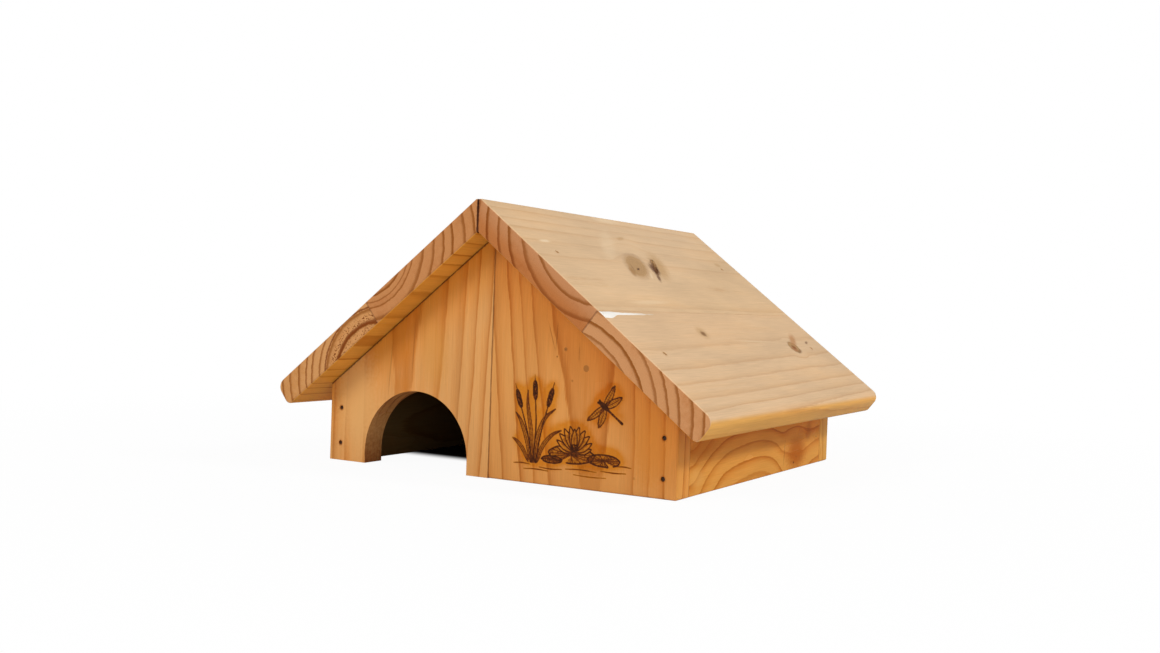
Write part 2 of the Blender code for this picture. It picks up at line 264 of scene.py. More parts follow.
def solidWood(name, board):
    # Varnished softwood through and through: the rings lie round a pith line, and show as
    # arcs on the ends and as long lines on the faces of one and the same board.
    tone = {**wood, **board}
    finish = Finish(bpy.data.materials.new(name))
    mix = finish.mix
    place = finish.place()
    facing = finish.add("TexCoord", out="Normal")
    corner, *axes = tone["axes"]

    def past(point, way):
        # millimetres past a point, counted along a way
        return finish.dot(finish.vector("SUBTRACT", place, point), way * 1000)

    def toward(way):
        # 1 on the faces that look this way
        return finish.dot(facing, way).rise(0.5, 0.9)

    u, v, w = (past(corner, axis) for axis in axes)
    spot = finish.join(u, v, w)
    flat = finish.join(u, w, 0.0)
    endOn = abs(finish.dot(facing, axes[2])).rise(0.55, 0.85)

    def cloud(*shape):
        return finish.cloud(spot, *shape)

    def near(item):
        # distance to the middle of a knot or mark, counted in its own half sizes
        return finish.length(finish.add("Mapping", {"vector_type": "TEXTURE"}, {
            "Vector": flat, "Location": (*item[:2], 0), "Scale": (*item[2:4], 1),
            "Rotation": (0, 0, math.radians(item[4]))}))

    # the rings, pushed aside by the knots
    bent = u
    knots = [(item, near(item)) for item in tone["knots"]]
    for item, distance in knots:
        bent = bent - (u - item[0]) * distance.rise(2.6, 0.7) * 0.8
    swing = cloud((34, 34, 150), 1.0) * (tone["wander"] * 2)
    ripple = cloud((6, 6, 42)) * 1.5
    grit = cloud((0.8, 0.8, 9), 1.0) * 0.8
    du, dv = (at - pith - (w - tone["leanFrom"]) * lean
              for at, pith, lean in zip((bent, v), tone["pith"], tone["lean"]))
    radius = finish.length(finish.join(du, dv, 0.0)) + swing + ripple + grit
    if tone["swell"]:
        longest, tallest = tone["swellScale"]
        points = [(a / longest, 0.5 + b / tallest / 2) for a, b in tone["swell"]]
        lift = finish.add("FloatCurve", {"points": points}, {"Value": w / longest})
        radius = radius - (lift - 0.5) * (2 * tallest)
    for item in tone["bulges"]:
        radius = radius + near(item).rise(1.0, 0.0) * item[5]
    table = ringTable(tone["rings"], tone["ringSpacing"], tone["farRing"])
    last = len(table) - 1
    points = [(r / tone["farRing"], i / last) for i, r in enumerate(table)]
    age = finish.add("FloatCurve", {"points": points}, {"Value": radius / tone["farRing"]})
    age = age * last + 0.07
    ring = age.sum("FLOOR", age)
    part = age.sum("FRACT", age)
    chance, chanceTwo = (finish.add("TexWhiteNoise", {"noise_dimensions": "1D"},
                                    {"W": ring + tone["seed"] + shift}) for shift in (0, 31.7))
    line = part.band(0.78, 0.93, 0.94, 0.995)
    broad = part.band(0.64, 0.86, 0.95, 0.999)
    soft = part.band(0.38, 0.94, 0.95, 1.0)
    haze = part.rise(0.25, 1.0)
    strength = chance * 0.55 + 0.45

    # colour of the clear wood
    fibre = cloud((0.35, 0.35, 26), 2.0, 0.6)
    streak = cloud((3.2, 3.2, 150))
    patch = cloud((26, 26, 90))
    pore = cloud((0.28, 0.28, 3), 1.0)
    warmth = chanceTwo * tone["ringShare"] + haze * 0.25 + streak * 1.1 + patch * 1.4
    warmth = warmth.rise(0.05, 1.15)
    face = mix(warmth, tone["early"], tone["warm"])
    face = mix(soft * strength * tone["faceSoft"], face, tone["soft"])
    lineMost = tone["faceLine"]
    for way, most in tone["strongLines"]:
        lineMost = toward(way) * most + lineMost
    face = mix(line * strength * lineMost, face, tone["late"])
    endFace = mix(warmth, tone["endEarly"], tone["endWarm"])
    endFace = mix(soft * strength * tone["endSoft"], endFace, tone["late"])
    endFace = mix(broad * (chance * 0.3 + 0.7) * tone["endLine"], endFace, tone["endLate"])
    colour = mix(endOn, face, endFace)

    def paint(share, tint, blend="MIX"):
        nonlocal colour
        colour = mix(share, colour, tint, blend)

    speck = (fibre * 0.45 + patch * 0.35 + 1) * (1 - endOn) + (pore * 0.9 + 1) * endOn
    paint(1.0, finish.join(speck, speck, speck), "MULTIPLY")

    # painted shade: the colour deepens below the roof's underside, where the roof shades the board: a
    # place, the way out of it, a reach and a tint
    for point, out, reach, tint in tone["corners"]:
        paint((past(point, -out) + patch * 14).rise(reach, 0.0), tint, "MULTIPLY")
    # painted light and shade: faces that look a given way are made lighter or darker
    for way, tint in tone["turned"]:
        paint(toward(way), tint, "MULTIPLY")
    if "endDeep" in tone:
        # the inner half of this end took more varnish
        paint(v.rise(17, 4) * endOn, tone["endDeep"], "MULTIPLY")
    # painted shade: the faces inside the cabin are darkened
    paint(insideHouse(finish, place), tone["insideShade"], "MULTIPLY")

    # knots, each with rings of its own, a dark rim and a dark heart
    height = line * strength * tone["lineBump"]
    knotWave = cloud((2.2, 2.2, 2.2))
    for (*_, depth, rim, heart), distance in knots:
        ragged = distance + knotWave * 0.28
        body = ragged.rise(1.06, tone["knotEdge"])
        paint(body * depth, tone["knot"])
        turns = (ragged * 9).sum("FRACT", ragged * 9).rise(0.55, 1.0) * body
        edge = ragged.band(0.8, 0.98, 1.02, 1.18)
        for share in (turns * 0.35 * depth, edge * rim, ragged.rise(heart, heart * 0.3)):
            paint(share, tone["knotHeart"])
        height = height + body * 0.05 - edge * rim * 0.08
    for item in tone["marks"]:
        most, tint = (*item[5:], tone["mark"])[:2]
        paint((near(item) + knotWave * 0.5).rise(1.1, 0.25) * most, tint)

    # a ring that stands out on the end grain, thick and uneven
    for middle, half, most in tone["bands"]:
        band = abs(radius - middle + knotWave * 1.6).rise(half, half * 0.35)
        paint(band * endOn * most, tone["endMark"])

    # resin specks strewn round one ring
    for middle, spread, most in tone["specks"]:
        cell = finish.add("TexVoronoi", None, {
            "Vector": finish.vector("DIVIDE", spot, (1.15, 1.15, 3)), "Scale": 1.0})
        band = abs(radius - middle).rise(spread, spread * 0.2)
        dot = (cell + knotWave * 0.9).rise(0.4, 0.3) * band * most
        paint(dot * endOn, tone["endMark"])

    # dirt along a straight joint, or painted shade in the crevice where the roof sits: a place, a
    # direction out from it, how far all of it and the darkest of it reach, its strength, and whether only
    # the ends show it
    for point, away, reach, full, most, endsOnly in tone["joints"]:
        ragged = abs(past(point, away)) + cloud((1.6, 1.6, 7)) * reach
        dirtAndShade = ragged.rise(reach, full) * most
        paint(dirtAndShade * endOn if endsOnly else dirtAndShade, tone["dirtAndCreviceShade"])

    # varnish: long soft waves, fibres that stand up, and open pores on the ends
    wave = cloud((22, 22, 70), 1.0) * tone["waveBump"]
    orange = cloud((2.4, 2.4, 4), 1.0) * 0.01
    height = height + wave + orange + fibre * tone["fibreBump"] * (1 - endOn)
    height = height + pore * tone["poreBump"] * endOn
    gloss = tone["gloss"] + patch * 0.14 + endOn * 0.12 - line * 0.03
    if "burn" in tone:
        colour, gloss = burnedWood(finish, tone["burn"], colour, gloss, knotWave)
    return finish.close(colour, gloss, height, tone["shine"])


def burnedWood(finish, burn, colour, gloss, mottle):
    # the picture's own burning and scorching, read from the board's points
    burned, scorch = (finish.add("Attribute", {"attribute_name": name}, out="Fac")
                      for name in ("burned", "scorch"))
    colour = finish.mix((scorch * (mottle * 0.8 + 1)).rise(0.0, 1.1), colour, burn["scorch"],
                        "MULTIPLY")
    char = finish.add("ValToRGB", {"stops": burn["stops"]}, {"Fac": burned + mottle * burned * 0.9})
    colour = finish.mix(burned.rise(0.02, 0.3), colour, char)
    return colour, gloss + burned.rise(0.3, 1.0) * 0.25


cutting = {"slit": 1e-7, "weld": 1e-6, "onLine": 3e-6, "square": 0.9999}    # how exact cuts are


def only(piece):
    bpy.ops.object.select_all(action="DESELECT")
    piece.select_set(True)
    bpy.context.view_layer.objects.active = piece


def edit(piece, kind="faces", test=None):
    # opens the piece for editing, with the faces, edges or verts selected that pass a test
    only(piece)
    bpy.ops.object.mode_set(mode="EDIT")
    bpy.ops.mesh.select_mode(type=kind[:-1].upper())
    bpy.ops.mesh.select_all(action="DESELECT")
    shape = bmesh.from_edit_mesh(piece.data)
    for item in [item for item in getattr(shape, kind) if test and test(item)]:
        item.select_set(True)
    bmesh.update_edit_mesh(piece.data)


def finishEdit():
    bpy.ops.object.mode_set(mode="OBJECT")


def primitive(add, name, **settings):
    # a new primitive, with its place and size in its mesh
    bpy.ops.object.select_all(action="DESELECT")
    add(**settings)
    piece = bpy.context.active_object
    piece.name = piece.data.name = name
    bpy.ops.object.transform_apply()
    return piece


def applied(piece, name, kind, **settings):
    only(piece)
    modifier = piece.modifiers.new(name, kind)
    for key, value in settings.items():
        setattr(modifier, key, value)
    bpy.ops.object.modifier_apply(modifier=name)


def carve(piece, tool):
    applied(piece, "cut", "BOOLEAN", operation="DIFFERENCE", solver="EXACT", object=tool)


def blank(name, corner, opposite):
    # a sawn length of board, a little larger than the finished outline
    low, high = (Vector(place) for place in zip(*map(sorted, zip(corner, opposite))))
    return primitive(bpy.ops.mesh.primitive_cube_add, name, size=1, location=(low + high) / 2,
                     scale=high - low)


def saw(piece, cuts):
    # takes away all that lies beyond each plane
    edit(piece)
    for point, normal in cuts:
        bpy.ops.mesh.select_all(action="SELECT")
        bpy.ops.mesh.bisect(plane_co=point, plane_no=normal, use_fill=True, clear_outer=True,
                            threshold=cutting["slit"])
    bpy.ops.mesh.select_all(action="SELECT")
    bpy.ops.mesh.remove_doubles(threshold=cutting["weld"])
    bpy.ops.mesh.normals_make_consistent()
    finishEdit()


def onLine(corners, point):
    # whether an edge runs along Y through a point of the section
    return all(abs(c.x - point.x) < cutting["onLine"] and abs(c.z - point.z) < cutting["onLine"]
               for c in corners)


def roundOver(piece, point, radius, steps):
    edit(piece, "edges", lambda edge: onLine([vertex.co for vertex in edge.verts], point))
    bpy.ops.mesh.bevel(offset=radius, segments=steps)
    finishEdit()


easing = {"rim": 0.0014, "seam": 0.00015, "crest": 0.00045, "steps": 4, "smooth": 32}


def easeEdges(piece, butting, arrises):
    # rounds the rims of both ends, but not where another board is met, and some long edges
    mesh = piece.data
    weights = mesh.attributes.new("bevel_weight_edge", "FLOAT", "EDGE")
    faces = {}
    for face in mesh.polygons:
        for key in face.edge_keys:
            faces.setdefault(key, []).append(face.normal)
    for edge in mesh.edges:
        onEnd, onSide = ([n for n in faces[edge.key] if (abs(n.y) > cutting["square"]) == end]
                         for end in (True, False))
        corners = [mesh.vertices[i].co for i in edge.vertices]
        if len(onEnd) == 1 and not any(onSide[0].dot(n) > cutting["square"] for n in butting):
            weights.data[edge.index].value = 1
        for point, size in arrises:
            if not onEnd and onLine(corners, point):
                weights.data[edge.index].value = size / easing["rim"]
    applied(piece, "eased", "BEVEL", limit_method="WEIGHT", width=easing["rim"], segments=easing["steps"])


def smooth(piece, degrees):
    # smooth over the rounds, crisp where faces meet
    only(piece)
    bpy.ops.object.shade_smooth_by_angle(angle=math.radians(degrees))


# Nail holes, as the nails of the frame need them
nail = {
    "face": 0.00155,      # radius at the face, round the head
    "shank": 0.0012,      # radius further in
    "set": 0.001,         # how far the head is driven below the face
    "headDepth": 0.0012, "length": 0.0383, "above": 0.002, "sides": 40,
    "wallShares": {"low": 0.23, "high": 0.69},     # of the wall's height
    "roofShare": 0.41,    # of a roof board's width
    "roofDepth": 0.33,    # in from the gable's face, as a share of its thickness
}


def nailBit():
    # the shape that every nail hole is cut with: its face lies at height 0
    depth = nail["set"] + nail["headDepth"]
    bit = primitive(bpy.ops.mesh.primitive_cylinder_add, "nail_bit", vertices=nail["sides"],
                    radius=nail["face"], depth=depth + nail["above"],
                    location=(0, 0, (nail["above"] - depth) / 2))
    edit(bit, "faces", lambda face: face.normal.z < -0.9)
    bpy.ops.mesh.inset(thickness=nail["face"] - nail["shank"])
    bpy.ops.transform.translate(value=(0, 0, nail["shank"] - nail["face"]))
    bpy.ops.mesh.extrude_region_move(
        TRANSFORM_OT_translate={"value": (0, 0, depth - nail["length"])})
    finishEdit()
    return bit


def placedCopy(source, name, point, turn):
    # a copy with its own mesh, turned and put in place within the mesh
    copy = source.copy()
    copy.data = source.data.copy()
    copy.name = copy.data.name = name
    bpy.context.scene.collection.objects.link(copy)
    copy.data.transform(Matrix.Translation(point) @ turn)
    return copy


def nailPlaces():
    # name, point on the face, turn from +Z to the outward direction, boards passed through
    starts = {"upper": upperBoard * nail["roofShare"],
              "lower": upperBoard + (eaveEnd - upperBoard) * nail["roofShare"]}
    for end, out in ends.items():
        for side, sign in sides.items():
            gable = f"{end}_gable_{side}"
            turn = Matrix.Rotation(-out * math.pi / 2, 4, "X")
            for level, share in nail["wallShares"].items():
                point = Vector((sign * (wallOuter - thickness / 2), gableFace[end], wallHeight * share))
                yield f"{end}_nail_{side}_{level}", point, turn, (gable, f"side_wall_{side}")
            turn = Matrix.Rotation(sign * house["pitch"], 4, "Y")
            y = gableFace[end] - out * thickness * nail["roofDepth"]
            for level, along in starts.items():
                yield (f"roof_nail_{end}_{side}_{level}", slopePoint(sign, along, roofTop, y),
                       turn, (f"roof_{level}_{side}", gable))


def drillHoles(boards):
    bit = nailBit()
    for name, point, turn, through in nailPlaces():
        cutter = placedCopy(bit, name + "_bit", point, turn)
        for board in through:
            carve(boards[board], cutter)
        bpy.data.objects.remove(cutter)
    bpy.data.objects.remove(bit)
    print("nail holes drilled")


doorway = {
    "radius": 0.04445,
    "leg": 0.0095,
    "centreShare": 0.448,      # of the board's width, from the joint
    "sides": 128,
}


def cutDoorway(board):
    # a round bar cut off at the springing line, with straight legs drawn down from it
    centre = Vector((-gableBoard * doorway["centreShare"], houseFront + thickness / 2, doorway["leg"]))
    cutter = primitive(bpy.ops.mesh.primitive_cylinder_add, "door_cutter", rotation=poleAlongY,
                       vertices=doorway["sides"], radius=doorway["radius"], depth=thickness * 2,
                       location=centre)
    saw(cutter, [(centre, -zWay)])
    edit(cutter, "faces", lambda face: face.normal.z < -0.99)
    bpy.ops.mesh.extrude_region_move(
        TRANSFORM_OT_translate={"value": (0, 0, -doorway["leg"] * 2)})
    finishEdit()
    carve(board, cutter)
    bpy.data.objects.remove(cutter)


spare = {"gable": 0.01, "wall": 0.03, "roof": 0.03}     # left over for the saw


def gableBoards():
    for end, out in ends.items():
        for side, sign in sides.items():
            name = f"{end}_gable_{side}"
            piece = blank(name + "_board", (sign * buttGap / 2, gableFace[end], 0),
                          (sign * gableBoard, gableFace[end] - out * thickness,
                           apexHeight + spare["gable"]))
            saw(piece, [(slopePoint(sign, 0, 0), slopeOut(sign))])
            if name == "front_gable_left":
                cutDoorway(piece)
            if name == "front_gable_right":
                markGround(piece)
            easeEdges(piece, [-sign * xWay, slopeOut(sign)],
                      [(Vector((sign * gableBoard, 0, 0)), easing["rim"])])
            yield name, piece
    print("gables made")


wallRound = {"radius": 0.001, "steps": 6}


def sideWalls():
    for side, sign in sides.items():
        outer, inner = sign * wallOuter, sign * wallInner
        piece = blank(f"side_wall_{side}_board", (outer, cabinFront + gap, 0),
                      (inner, cabinBack - gap, wallHeight + spare["wall"]))
        saw(piece, [(slopePoint(sign, 0, 0), slopeOut(sign))])
        for x in (outer, inner):
            roundOver(piece, Vector((x, 0, 0)), wallRound["radius"], wallRound["steps"])
        yield f"side_wall_{side}", piece
    print("side walls made")


roof = {
    "topRound": 0.355, "bottomRound": 0.246, "steps": 14,     # of the eave, in thicknesses
    "blankReach": 0.19, "upperFoot": 0.06, "lowerFoot": 0.0,
}


def roofBoards():
    halfGap, flat = house["mitreGap"] / 2, house["ridgeFlat"]
    crest = apexHeight + roofTop / cosPitch - (halfGap + flat) * sinPitch / cosPitch
    for side, sign in sides.items():
        out, down = slopeOut(sign), slopeDown(sign)
        eaveTop, eaveFoot = (slopePoint(sign, eaveEnd, height) for height in (roofTop, gap))
        crestOuter, crestInner = (Vector((sign * (halfGap + x), 0, crest)) for x in (flat, 0))
        # the mitre was sawn a little steep, so it stands open at the crest
        mitreFoot = Vector((sign * buttGap / 2, 0, apexHeight + gap / cosPitch))
        mitre = crestInner - mitreFoot
        mitre = Vector((-sign * mitre.z, 0, abs(mitre.x))).normalized()
        for level, way, top, cuts, rounds, arrises in (
                ("upper", 1, apexHeight + spare["roof"], [(mitreFoot, mitre), ((0, 0, crest), zWay)],
                 (), [(crestOuter, easing["crest"]), (crestInner, easing["crest"])]),
                ("lower", -1, apexHeight, [(eaveTop, down)],
                 ((eaveTop, roof["topRound"]), (eaveFoot, roof["bottomRound"])), [])):
            seam = upperBoard - way * buttGap / 2
            piece = blank(f"roof_{level}_{side}_board", (0, roofFront, roof[level + "Foot"]),
                          (sign * roof["blankReach"], roofBack, top))
            saw(piece, [(slopePoint(sign, 0, roofTop), out), (slopePoint(sign, 0, gap), -out),
                        (slopePoint(sign, seam, 0), way * down), *cuts])
            for point, share in rounds:
                roundOver(piece, point, thickness * share, roof["steps"])
            easeEdges(piece, [mitre, way * down] if level == "upper" else [way * down],
                      [(slopePoint(sign, seam, roofTop), easing["seam"]), *arrises])
            yield f"roof_{level}_{side}", piece
    print("roof boards made")


# The pocket of bark beside the big knot of the right slope
barkPocket = {
    "side": 1, "along": 0.0487, "fromFront": 0.1575,
    "halfSizes": (0.0026, 0.015, 0.0011),
    "turn": 43.0,                              # degrees off the length of the roof
    "lump": 0.35, "lumpScale": 2.3, "bend": 0.5, "bendScale": 1.7,
}


def cutBarkPocket(board):
    lens = primitive(bpy.ops.mesh.primitive_uv_sphere_add, "bark_lens", segments=48, ring_count=24)
    size = Matrix.Diagonal((*barkPocket["halfSizes"], 1))
    turn = (Matrix.Rotation(barkPocket["side"] * house["pitch"], 4, "Y")
            @ Matrix.Rotation(math.radians(barkPocket["turn"]), 4, "Z"))
    point = slopePoint(barkPocket["side"], barkPocket["along"], roofTop,
                       roofFront + barkPocket["fromFront"])
    for vertex in lens.data.vertices:
        lump = noise.noise(vertex.co * barkPocket["lumpScale"] + Vector((4, 1, 7)))
        vertex.co *= 1 + barkPocket["lump"] * lump
        bend = noise.noise(Vector((vertex.co.y * barkPocket["bendScale"], 3, 1)))
        vertex.co.x += barkPocket["bend"] * bend
    lens.data.transform(Matrix.Translation(point) @ turn @ size)
    carve(board, lens)
    bpy.data.objects.remove(lens)
    print("bark pocket cut")


pond = {
    "left": 16.0, "right": 112.0, "bottom": 5.0, "top": 74.0,     # millimetres on the board
    "splits": (5, 5, 4),          # cuts of each round of subdividing
    "cell": 0.2,                  # raster step in millimetres
    "groove": 0.22,               # depth of a fully burned line
    "glow": 5.5, "glowReach": 3.4,
    "glowRise": 2.2,              # the scorch drifts upwards, as the heat does
    "fade": 5.0,                  # towards the ground's edges
    "seed": 11,
}


def holdsPond(face):
    # whether this is the front face that the middle of the picture lies in
    middle = {0: (pond["left"] + pond["right"]) / 2000, 2: (pond["bottom"] + pond["top"]) / 2000}
    reach = {axis: sorted(vertex.co[axis] for vertex in face.verts) for axis in middle}
    return face.normal.y < -0.99 and all(
        reach[axis][0] < place < reach[axis][-1] for axis, place in middle.items())


def markGround(piece):
    # marks off the picture's ground on the board's front face
    for key, axis in (("left", xWay), ("right", xWay), ("bottom", zWay), ("top", zWay)):
        edit(piece, "faces", holdsPond)
        bpy.ops.mesh.bisect(plane_co=axis * (pond[key] / 1000), plane_no=axis, threshold=cutting["slit"])
        finishEdit()


def unit(vector):
    return vector / np.hypot(*vector)


class BurningPen:
    # draws heat on a raster, in millimetres of the board's face
    def __init__(self):
        self.step = pond["cell"]
        xs = np.arange(pond["left"], pond["right"], self.step)
        zs = np.arange(pond["bottom"], pond["top"], self.step)
        self.x, self.z = np.meshgrid(xs, zs)
        self.heat = np.zeros_like(self.x)
        self.chance = np.random.default_rng(pond["seed"])

    def press(self, x, z, radius, heat, soft=0.3):
        # one touch of the tip
        reach = radius + soft
        part = tuple(slice(max(int((at - reach - start) / self.step), 0),
                           int((at + reach - start) / self.step) + 2)
                     for at, start in ((z, pond["bottom"]), (x, pond["left"])))
        away = np.hypot(self.x[part] - x, self.z[part] - z)
        touch = heat * np.clip((radius + soft - away) / soft, 0, 1)
        self.heat[part] = np.maximum(self.heat[part], touch)

    def curve(self, points, count=60):
        # a smooth line through its points
        points = np.array(points, float)
        if len(points) == 2:
            t = np.linspace(0, 1, count)[:, None]
            return points[0] * (1 - t) + points[1] * t
        padded = np.vstack([2 * points[0] - points[1], points, 2 * points[-1] - points[-2]])
        t = np.linspace(0, 1, max(count // (len(points) - 1), 6))[:, None]
        return np.vstack([0.5 * (2 * b + (c - a) * t + (2 * a - 5 * b + 4 * c - d) * t ** 2
                                 + (3 * b - a - 3 * c + d) * t ** 3)
                          for a, b, c, d in zip(padded, padded[1:], padded[2:], padded[3:])])

    def line(self, points, widths=(0.35, 0.35), heat=0.9):
        # a drawn line, its half width going from first to last
        length = np.hypot(*np.diff(np.array(points, float), axis=0).T).sum()
        path = self.curve(points, max(int(length / 0.22), 8))
        share = np.linspace(0, 1, len(path))
        swell = np.interp(share, np.linspace(0, 1, len(widths)), widths)
        for (x, z), radius in zip(path, swell):
            self.press(x, z, radius, heat * self.chance.uniform(0.86, 1.0))

    def rim(self, outline, every, half, heat):
        # a line round an outline, back to its start
        self.line(np.vstack([outline, outline[:1]])[::every], (half, half), heat)

    def inside(self, outline):
        # which raster points an outline holds
        outline = np.array(outline, float)
        held = np.zeros(self.x.shape, bool)
        for (x0, z0), (x1, z1) in zip(outline, np.roll(outline, -1, axis=0)):
            crosses = (z0 > self.z) != (z1 > self.z)
            with np.errstate(divide="ignore", invalid="ignore"):
                at = (x1 - x0) * (self.z - z0) / (z1 - z0) + x0
            held ^= crosses & (self.x < at)
        return held

    def wash(self, outline, heat, grain):
        # even shading inside an outline, with the tip's mottling
        held = self.inside(outline)
        noisy = heat * (1 + grain * self.chance.uniform(-1, 1, self.x.shape))
        self.heat[held] = np.maximum(self.heat[held], noisy[held])

    def dots(self, outline, count, radius, heat):
        held = np.argwhere(self.inside(outline))
        for row, column in held[self.chance.integers(0, len(held), count)]:
            self.press(self.x[row, column], self.z[row, column],
                       radius * self.chance.uniform(0.6, 1.3), heat, 0.2)

    def lift(self, spot, radius, kept):
        # a lighter fleck where the tip lifted
        self.heat[np.hypot(self.x - spot[0], self.z - spot[1]) < radius] *= kept

    def leaf(self, points, half):
        # outline of a blade round a curved middle line, widest below its middle
        path = self.curve(points, 50)
        ahead = np.gradient(path, axis=0)
        ahead /= np.hypot(ahead[:, 0], ahead[:, 1])[:, None]
        side = np.column_stack([-ahead[:, 1], ahead[:, 0]])
        share = np.linspace(0, 1, len(path))
        width = (half * np.sin(np.pi * share ** 0.7) ** 0.8 + 0.05)[:, None]
        return np.vstack([path + side * width, (path - side * width)[::-1]])


def drawBulrushes(pen):
    # stems with seed heads, and long blades bent over by the wind
    for points, half in (([(33, 14), (30, 28), (25, 40), (20.5, 46)], 1.3),
                         ([(36, 14), (38, 30), (43, 43), (51, 50)], 1.4),
                         ([(34.5, 14), (33, 33), (30, 50), (29.5, 61)], 1.2),
                         ([(38, 14), (42, 25), (49, 33), (56, 36.5)], 1.2),
                         ([(31.5, 14), (27, 22), (22, 27), (18.5, 29)], 1.1)):
        outline = pen.leaf(points, half)
        pen.wash(outline, 0.27, 0.9)
        pen.rim(outline, 4, 0.22, 0.86)
        pen.line(points, (0.2, 0.12), 0.8)
    for foot, knee, top in (((35, 14), (36.5, 38), (35.5, 56)), ((37, 14), (41, 36), (45.5, 52)),
                            ((34, 14), (30.5, 32), (24.5, 50))):
        pen.line([foot, knee, top], (0.42, 0.3), 0.92)
        start = np.array(top)
        lean = unit(start - np.array(knee))
        body = [start + lean * d for d in np.linspace(0, 10.5, 12)]
        pen.line(body, (1.1, 1.75, 1.85, 1.85, 1.8, 1.2), 0.97)
        pen.line([start + lean * 10.5, start + lean * 15.5], (0.3, 0.12), 0.9)
        for d in np.linspace(1, 9.5, 9):
            pen.lift(start + lean * d + pen.chance.uniform(-0.8, 0.8, 2), 0.45, 0.62)


def drawLily(pen):
    # two pads seen from the side of the pond, and an open flower over them
    for centre, half, notch in (((64, 21.5), (17, 5.6), 250), ((88, 19.8), (11.5, 3.8), 300),
                                ((49.5, 17.2), (7.5, 2.3), 200)):
        turn = np.radians(np.linspace(notch + 9, notch + 351, 70))
        wavy = 1 + 0.02 * np.sin(9 * turn)
        outline = np.vstack([np.column_stack([centre[0] + half[0] * np.cos(turn) * wavy,
                                              centre[1] + half[1] * np.sin(turn)]), [centre]])
        pen.wash(outline, 0.3, 0.9)
        pen.rim(outline, 2, 0.4, 0.95)
        for angle in np.radians(np.arange(notch + 24, notch + 345, 24)):
            tip = (centre[0] + half[0] * 0.93 * np.cos(angle), centre[1] + half[1] * 0.93 * np.sin(angle))
            pen.line([centre, tip], (0.26, 0.12), 0.8)
        pen.dots(outline, int(half[0] * 12), 0.2, 0.84)
    base = np.array((66.0, 24.5))
    pairs = ((82, 13, 1.9), (65, 14.5, 2.1), (46, 15.5, 2.3), (28, 16.5, 2.3), (11, 17, 2.2))
    petals = [(way * tilt, *size) for tilt, *size in pairs for way in (1, -1)] + [(0, 15, 2.1)]
    for tilt, reach, half in petals:
        turn = math.radians(90 + tilt)
        out = np.array((math.cos(turn), math.sin(turn) * 0.92))
        bow = np.array((0, 1.2 if abs(tilt) > 50 else 0))
        outline = pen.leaf([base, base + out * reach * 0.55 - bow, base + out * reach], half)
        pen.heat[pen.inside(outline)] *= 0.25       # a petal hides what lies behind it
        root = np.array([p for p in outline if np.hypot(*(p - base)) < reach * 0.55])
        if len(root) > 3:
            pen.wash(root, 0.26, 0.7)
        pen.rim(outline, 3, 0.3, 0.93)
        for shift in (-0.35, 0, 0.35):
            tip = base + out * reach * 0.72 + np.array((-out[1], out[0])) * half * shift
            pen.line([base + out * 2, tip], (0.17, 0.08), 0.62)
    pen.dots([base + np.array((3.2 * math.cos(a), 2.4 * math.sin(a) + 1.5))
              for a in np.linspace(0, 6.28, 20)], 60, 0.28, 1.0)


def drawDragonfly(pen):
    # wings spread over the flower, the long body slanting down to the right
    head, back, side = np.array((84.0, 56.5)), np.array((0.8, -0.6)), np.array((0.6, 0.8))
    chest = head + back * 3.4
    for sign, sweep, reach, half in ((1, -0.15, 15.5, 1.9), (1, 0.42, 14.0, 2.3),
                                     (-1, -0.25, 15.5, 1.9), (-1, 0.35, 14.0, 2.3)):
        aim = unit(side * sign + back * sweep)
        root = chest + back * (0.4 + max(sweep, 0) * 2)
        points = [root, root + aim * reach * 0.55 + back * 0.5, root + aim * reach]
        outline = pen.leaf(points, half)
        pen.wash(outline, 0.2, 0.35)
        pen.rim(outline, 3, 0.26, 0.92)
        for share in np.linspace(0.2, 0.85, 7):
            spot = root + aim * reach * share
            pen.line([spot - back * half * 0.8, spot + back * half * 0.8 + aim * 0.8], (0.11, 0.11), 0.6)
        pen.line(points, (0.2, 0.12), 0.8)
        pen.line([root + aim * (reach - 3) - back * half * 0.55,
                  root + aim * (reach - 1.6) - back * half * 0.45], (0.4, 0.3), 0.95)
    pen.line([head, chest + back * 2.4], (1.1, 1.7, 1.5), 0.98)
    pen.line([chest + back * 2, chest + back * 17], (0.85, 0.55, 0.5, 0.75), 0.95)
    for share in range(3, 17, 2):
        pen.lift(chest + back * share, 0.34, 0.5)
    for eye in (0.8, -0.8):
        pen.press(*(head - back * 0.9 + side * eye), 0.75, 1.0)


def drawWater(pen):
    for x0, x1, z, dip in ((20, 33, 12.6, 0.5), (40, 57, 11.4, -0.5), (60, 83, 12.0, 0.6),
                           (86, 104, 13.2, -0.4), (28, 47, 9.4, 0.4), (66, 90, 9.0, -0.5),
                           (97, 108, 17.0, 0.4)):
        pen.line([(x0, z), ((x0 + x1) / 2, z + dip), (x1, z)], (0.08, 0.34, 0.08), 0.72)


